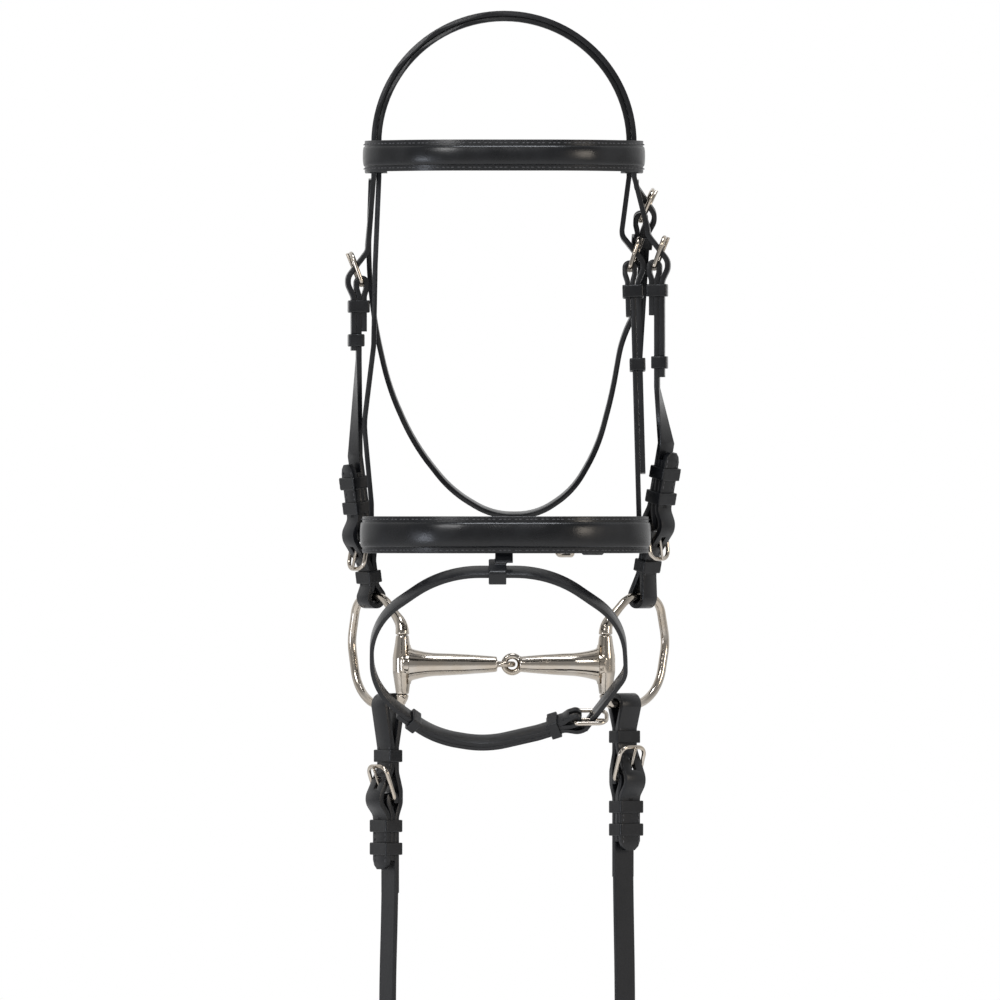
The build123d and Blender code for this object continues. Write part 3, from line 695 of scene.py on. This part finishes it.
def dressEnd(nodeName, plane):
    origin, out, along, width, shift, tip = plane
    origin = Vector(origin) / 1000
    out = Vector(out).normalized()
    along = Vector(along).normalized()
    cutTip(straps[nodeName], origin, out, along, along.cross(out), tip / 1000)
    tree = surfaceTree(straps[nodeName])
    stretches = ((endSettings["sewnFrom"] + shift, endSettings["sewnTo"] + shift),
                 (tip - endSettings["tipFrom"], tip - endSettings["tipTo"]))
    rows = []
    for side in (-1, 1):
        aside = side * (width / 2 - endSettings["inset"]) / 1000
        for low, high in stretches:
            row = []
            far = low / 1000
            while far < high / 1000:
                found = outerSpot(tree, origin, out, along, far, aside)
                if found:
                    spot, normal = found
                    way = (along - normal * along.dot(normal)).normalized()
                    row.append((spot, way, normal))
                far += stitchPitch
            rows.append(row)
    body = bodyOf[nodeName]
    stitching(nodeName + "_stitching", rows, body)
    vertices = []
    faces = []
    for place in endSettings["holes"]:
        found = outerSpot(tree, origin, out, along, (place + shift) / 1000, 0)
        if found:
            spot, normal = found
            addHole(vertices, faces, spot, along, normal, endSettings["holeWidth"] / 1000)
    if vertices:
        # the hole discs carry painted shade, standing in for the dark inside of each punched hole
        holes = newPiece(nodeName + "_holes", vertices, faces)
        dress(holes, paintedHoleShade)
        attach(holes, body)


for nodeName, plane in endPlanes.items():
    dressEnd(nodeName, plane)
print("buckled ends stitched")


# Free reins: a flat strap along a smooth spline, in millimetres here

# start: down from the ring's lower edge, inside the upper keeper; strapEnd: where the strap
# leaves its own ring end; last: where it meets the centre buckle's leather
reinSettings = {
    -1: {"start": 98.0, "strapEnd": 128.1, "last": (-40.5, -1001.8)},
    1: {"start": 85.0, "strapEnd": 117.1, "last": (26.5, -995.4)},
}
hankRoute = [(1, -672), (-1, -765), (-1, -850), (-8, -915), (-32, -965), (-36, -1010), (6, -1050),
             (48, -1010), (44, -965), (20, -915), (9.5, -850), (9.5, -775), (16, -728), (50, -694),
             (88, -722), (90, -775), (86, -830)]
reinSize = {"width": 0.0161, "thick": 0.0035, "corner": 0.0007, "lap": -1.76,
            "turnLength": 0.22, "smoothness": 12, "shadeAngle": 30}


def reinPoints(side):
    settings = reinSettings[side]
    topX, topY, topZ = reinOrigin(side)
    outX, outY, level = reinOut(side)
    route = [(reinSize["lap"], topZ - settings["start"]),
             (reinSize["lap"], topZ - settings["strapEnd"])] + hankRoute
    points = [Vector((topX + outX * u, topY + outY * u, z)) / 1000 for u, z in route]
    lastU, lastZ = hankRoute[-1]
    inner, lowest = settings["last"]
    tail = [(*rounded((topX + outX * lastU + side, topY + outY * lastU - 2), 1), lastZ - 52),
            (side * 120, -62, -940), (side * 84, -65, -990), (inner, -65, lowest)]
    return points + [Vector(spot) / 1000 for spot in tail]


def smoothPath(name, points):
    curve = bpy.data.curves.new(name + "_route", "CURVE")
    curve.dimensions = "3D"
    curve.resolution_u = reinSize["smoothness"]
    spline = curve.splines.new("NURBS")
    spline.points.add(len(points) - 1)
    for controlPoint, spot in zip(spline.points, points):
        controlPoint.co = (*spot, 1)
    spline.order_u = 3
    spline.use_endpoint_u = True
    guide = bpy.data.objects.new(name + "_guide", curve)
    bpy.context.scene.collection.objects.link(guide)
    bpy.context.view_layer.update()
    lineMesh = bpy.data.meshes.new_from_object(guide)
    path = [v.co.copy() for v in lineMesh.vertices]
    bpy.data.objects.remove(guide)
    bpy.data.meshes.remove(lineMesh)
    return path


def flatRein(side):
    name = sideNames[side]
    points = reinPoints(side)
    path = smoothPath(name, points)
    outX, outY, level = reinOut(side)
    flatWay = Vector((-outY, outX, 0))
    if flatWay.y > 0:
        flatWay = -flatWay
    far = [0.0]
    for before, here in zip(path, path[1:]):
        far.append(far[-1] + (here - before).length)
    tailFrom = far[-1] - reinSize["turnLength"]
    half = reinSize["width"] / 2
    thick = reinSize["thick"] / 2
    corner = reinSize["corner"]
    section = [(-half, -thick + corner), (-half + corner, -thick), (half - corner, -thick),
               (half, -thick + corner), (half, thick - corner), (half - corner, thick),
               (-half + corner, thick), (-half, thick - corner)]
    vertices = []
    for index, spot in enumerate(path):
        before, after = path[max(index - 1, 0)], path[min(index + 1, len(path) - 1)]
        along = (after - before).normalized()
        share = max(0.0, (far[index] - tailFrom) / reinSize["turnLength"])
        wide = flatWay * (1 - share) + Vector((0, -1, 0)) * share
        wide = (wide - along * wide.dot(along)).normalized()
        through = along.cross(wide)
        for x, y in section:
            vertices.append(spot + wide * x + through * y)
    ring = len(section)
    faces = wallFaces(0, len(path), ring) + capFaces(len(path), ring)
    piece = newPiece(name + "_rein_strap", vertices, faces)
    faceOutwards(piece)
    shadeWithin(piece, reinSize["shadeAngle"])
    dress(piece, reinLeather)
    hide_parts(name + "_rein_cord")
    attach(piece, "reins")
    print(name, "rein length", round(far[-1], 3))
    onIt = [name + "_rein_tie_leather", name + "_rein_tail_leather"]
    if name == "off":
        onIt += ["rein_centre_buckle_steel", "rein_centre_tongue_steel",
                 "rein_centre_keeper_leather"]


for side in reinSettings:
    flatRein(side)
print("reins made")


# Floor, light and camera

cameraSettings = {"middle": (-0.0027, 0.0, -0.3255), "width": 0.68, "distance": 14.0,
                  "sensor": 36}
floorSettings = {"size": 24, "below": 0.004, "colour": "#F4F4F4", "rough": 0.9}
floorLevel = cadBox[0][2] - floorSettings["below"]

bpy.ops.mesh.primitive_plane_add(size=floorSettings["size"], location=(0, 0, floorLevel))
floor = bpy.context.active_object
floor.name = "floor"
# Studio paper: matt, off white, rolled out under the bridle.
paper = newMaterial("whitePaper")
paperLook = {"Base Color": linearColour(floorSettings["colour"]),
             "Roughness": floorSettings["rough"]}
finishMaterial(paper.node_tree,
               addNode(paper.node_tree, "ShaderNodeBsdfPrincipled", (0, 0), paperLook))
dress(floor, paper)

world = bpy.data.worlds.new("studio")
bpy.context.scene.world = world
world.use_nodes = True
# white behind the bridle, and a dim grey room in front of it for the steel and leather to reflect
room = {"white": 1.0, "dim": 0.42, "from": -0.35, "to": 0.25}
skyTree = world.node_tree
skyTree.nodes.clear()
direction = addNode(skyTree, "ShaderNodeTexCoord", (-800, 0)).outputs["Generated"]
parts = addNode(skyTree, "ShaderNodeSeparateXYZ", (-600, 0), links={"Vector": direction})
shade = addNode(skyTree, "ShaderNodeMapRange", (-400, 0),
                {"From Min": room["from"], "From Max": room["to"], "To Min": room["dim"],
                 "To Max": room["white"], "interpolation_type": "SMOOTHSTEP"},
                {"Value": parts.outputs["Y"]})
sky = addNode(skyTree, "ShaderNodeBackground", (-200, 0), {"Color": linearColour("#FFFFFF")},
              {"Strength": shade.outputs["Result"]})
addNode(skyTree, "ShaderNodeOutputWorld", (0, 0), links={"Surface": sky.outputs["Background"]})

lampSettings = [
    ("keyLight", (-0.9, -2.0, 1.0), 0.9, 30.0, "#FFFFFF"),
    ("fillLight", (1.9, -1.5, 0.1), 0.7, 14.0, "#FFF3E4"),
    ("lowLight", (-1.7, -1.3, -0.6), 0.5, 8.0, "#EAF1FF"),
    ("topLight", (0.1, -0.5, 1.6), 0.7, 24.0, "#F4F8FF"),
]
aim = Vector(cameraSettings["middle"])
for name, place, size, power, colour in lampSettings:
    lamp = bpy.data.lights.new(name, "AREA")
    lamp.energy = power
    lamp.size = size
    lamp.color = linearColour(colour)[:3]
    holder = bpy.data.objects.new(name, lamp)
    holder.location = place
    holder.rotation_euler = (aim - Vector(place)).to_track_quat("-Z", "Y").to_euler()
    bpy.context.scene.collection.objects.link(holder)

camera = bpy.data.cameras.new("studioCamera")
camera.sensor_width = cameraSettings["sensor"]
camera.lens = cameraSettings["sensor"] * cameraSettings["distance"] / cameraSettings["width"]
camera.clip_end = 100
cameraHolder = bpy.data.objects.new("studioCamera", camera)
cameraHolder.location = aim + Vector((0, -cameraSettings["distance"], 0))
cameraHolder.rotation_euler = (math.radians(90), 0, 0)
bpy.context.scene.collection.objects.link(cameraHolder)
bpy.context.scene.camera = cameraHolder
bpy.context.scene.view_settings.view_transform = "Standard"
print("stage made")
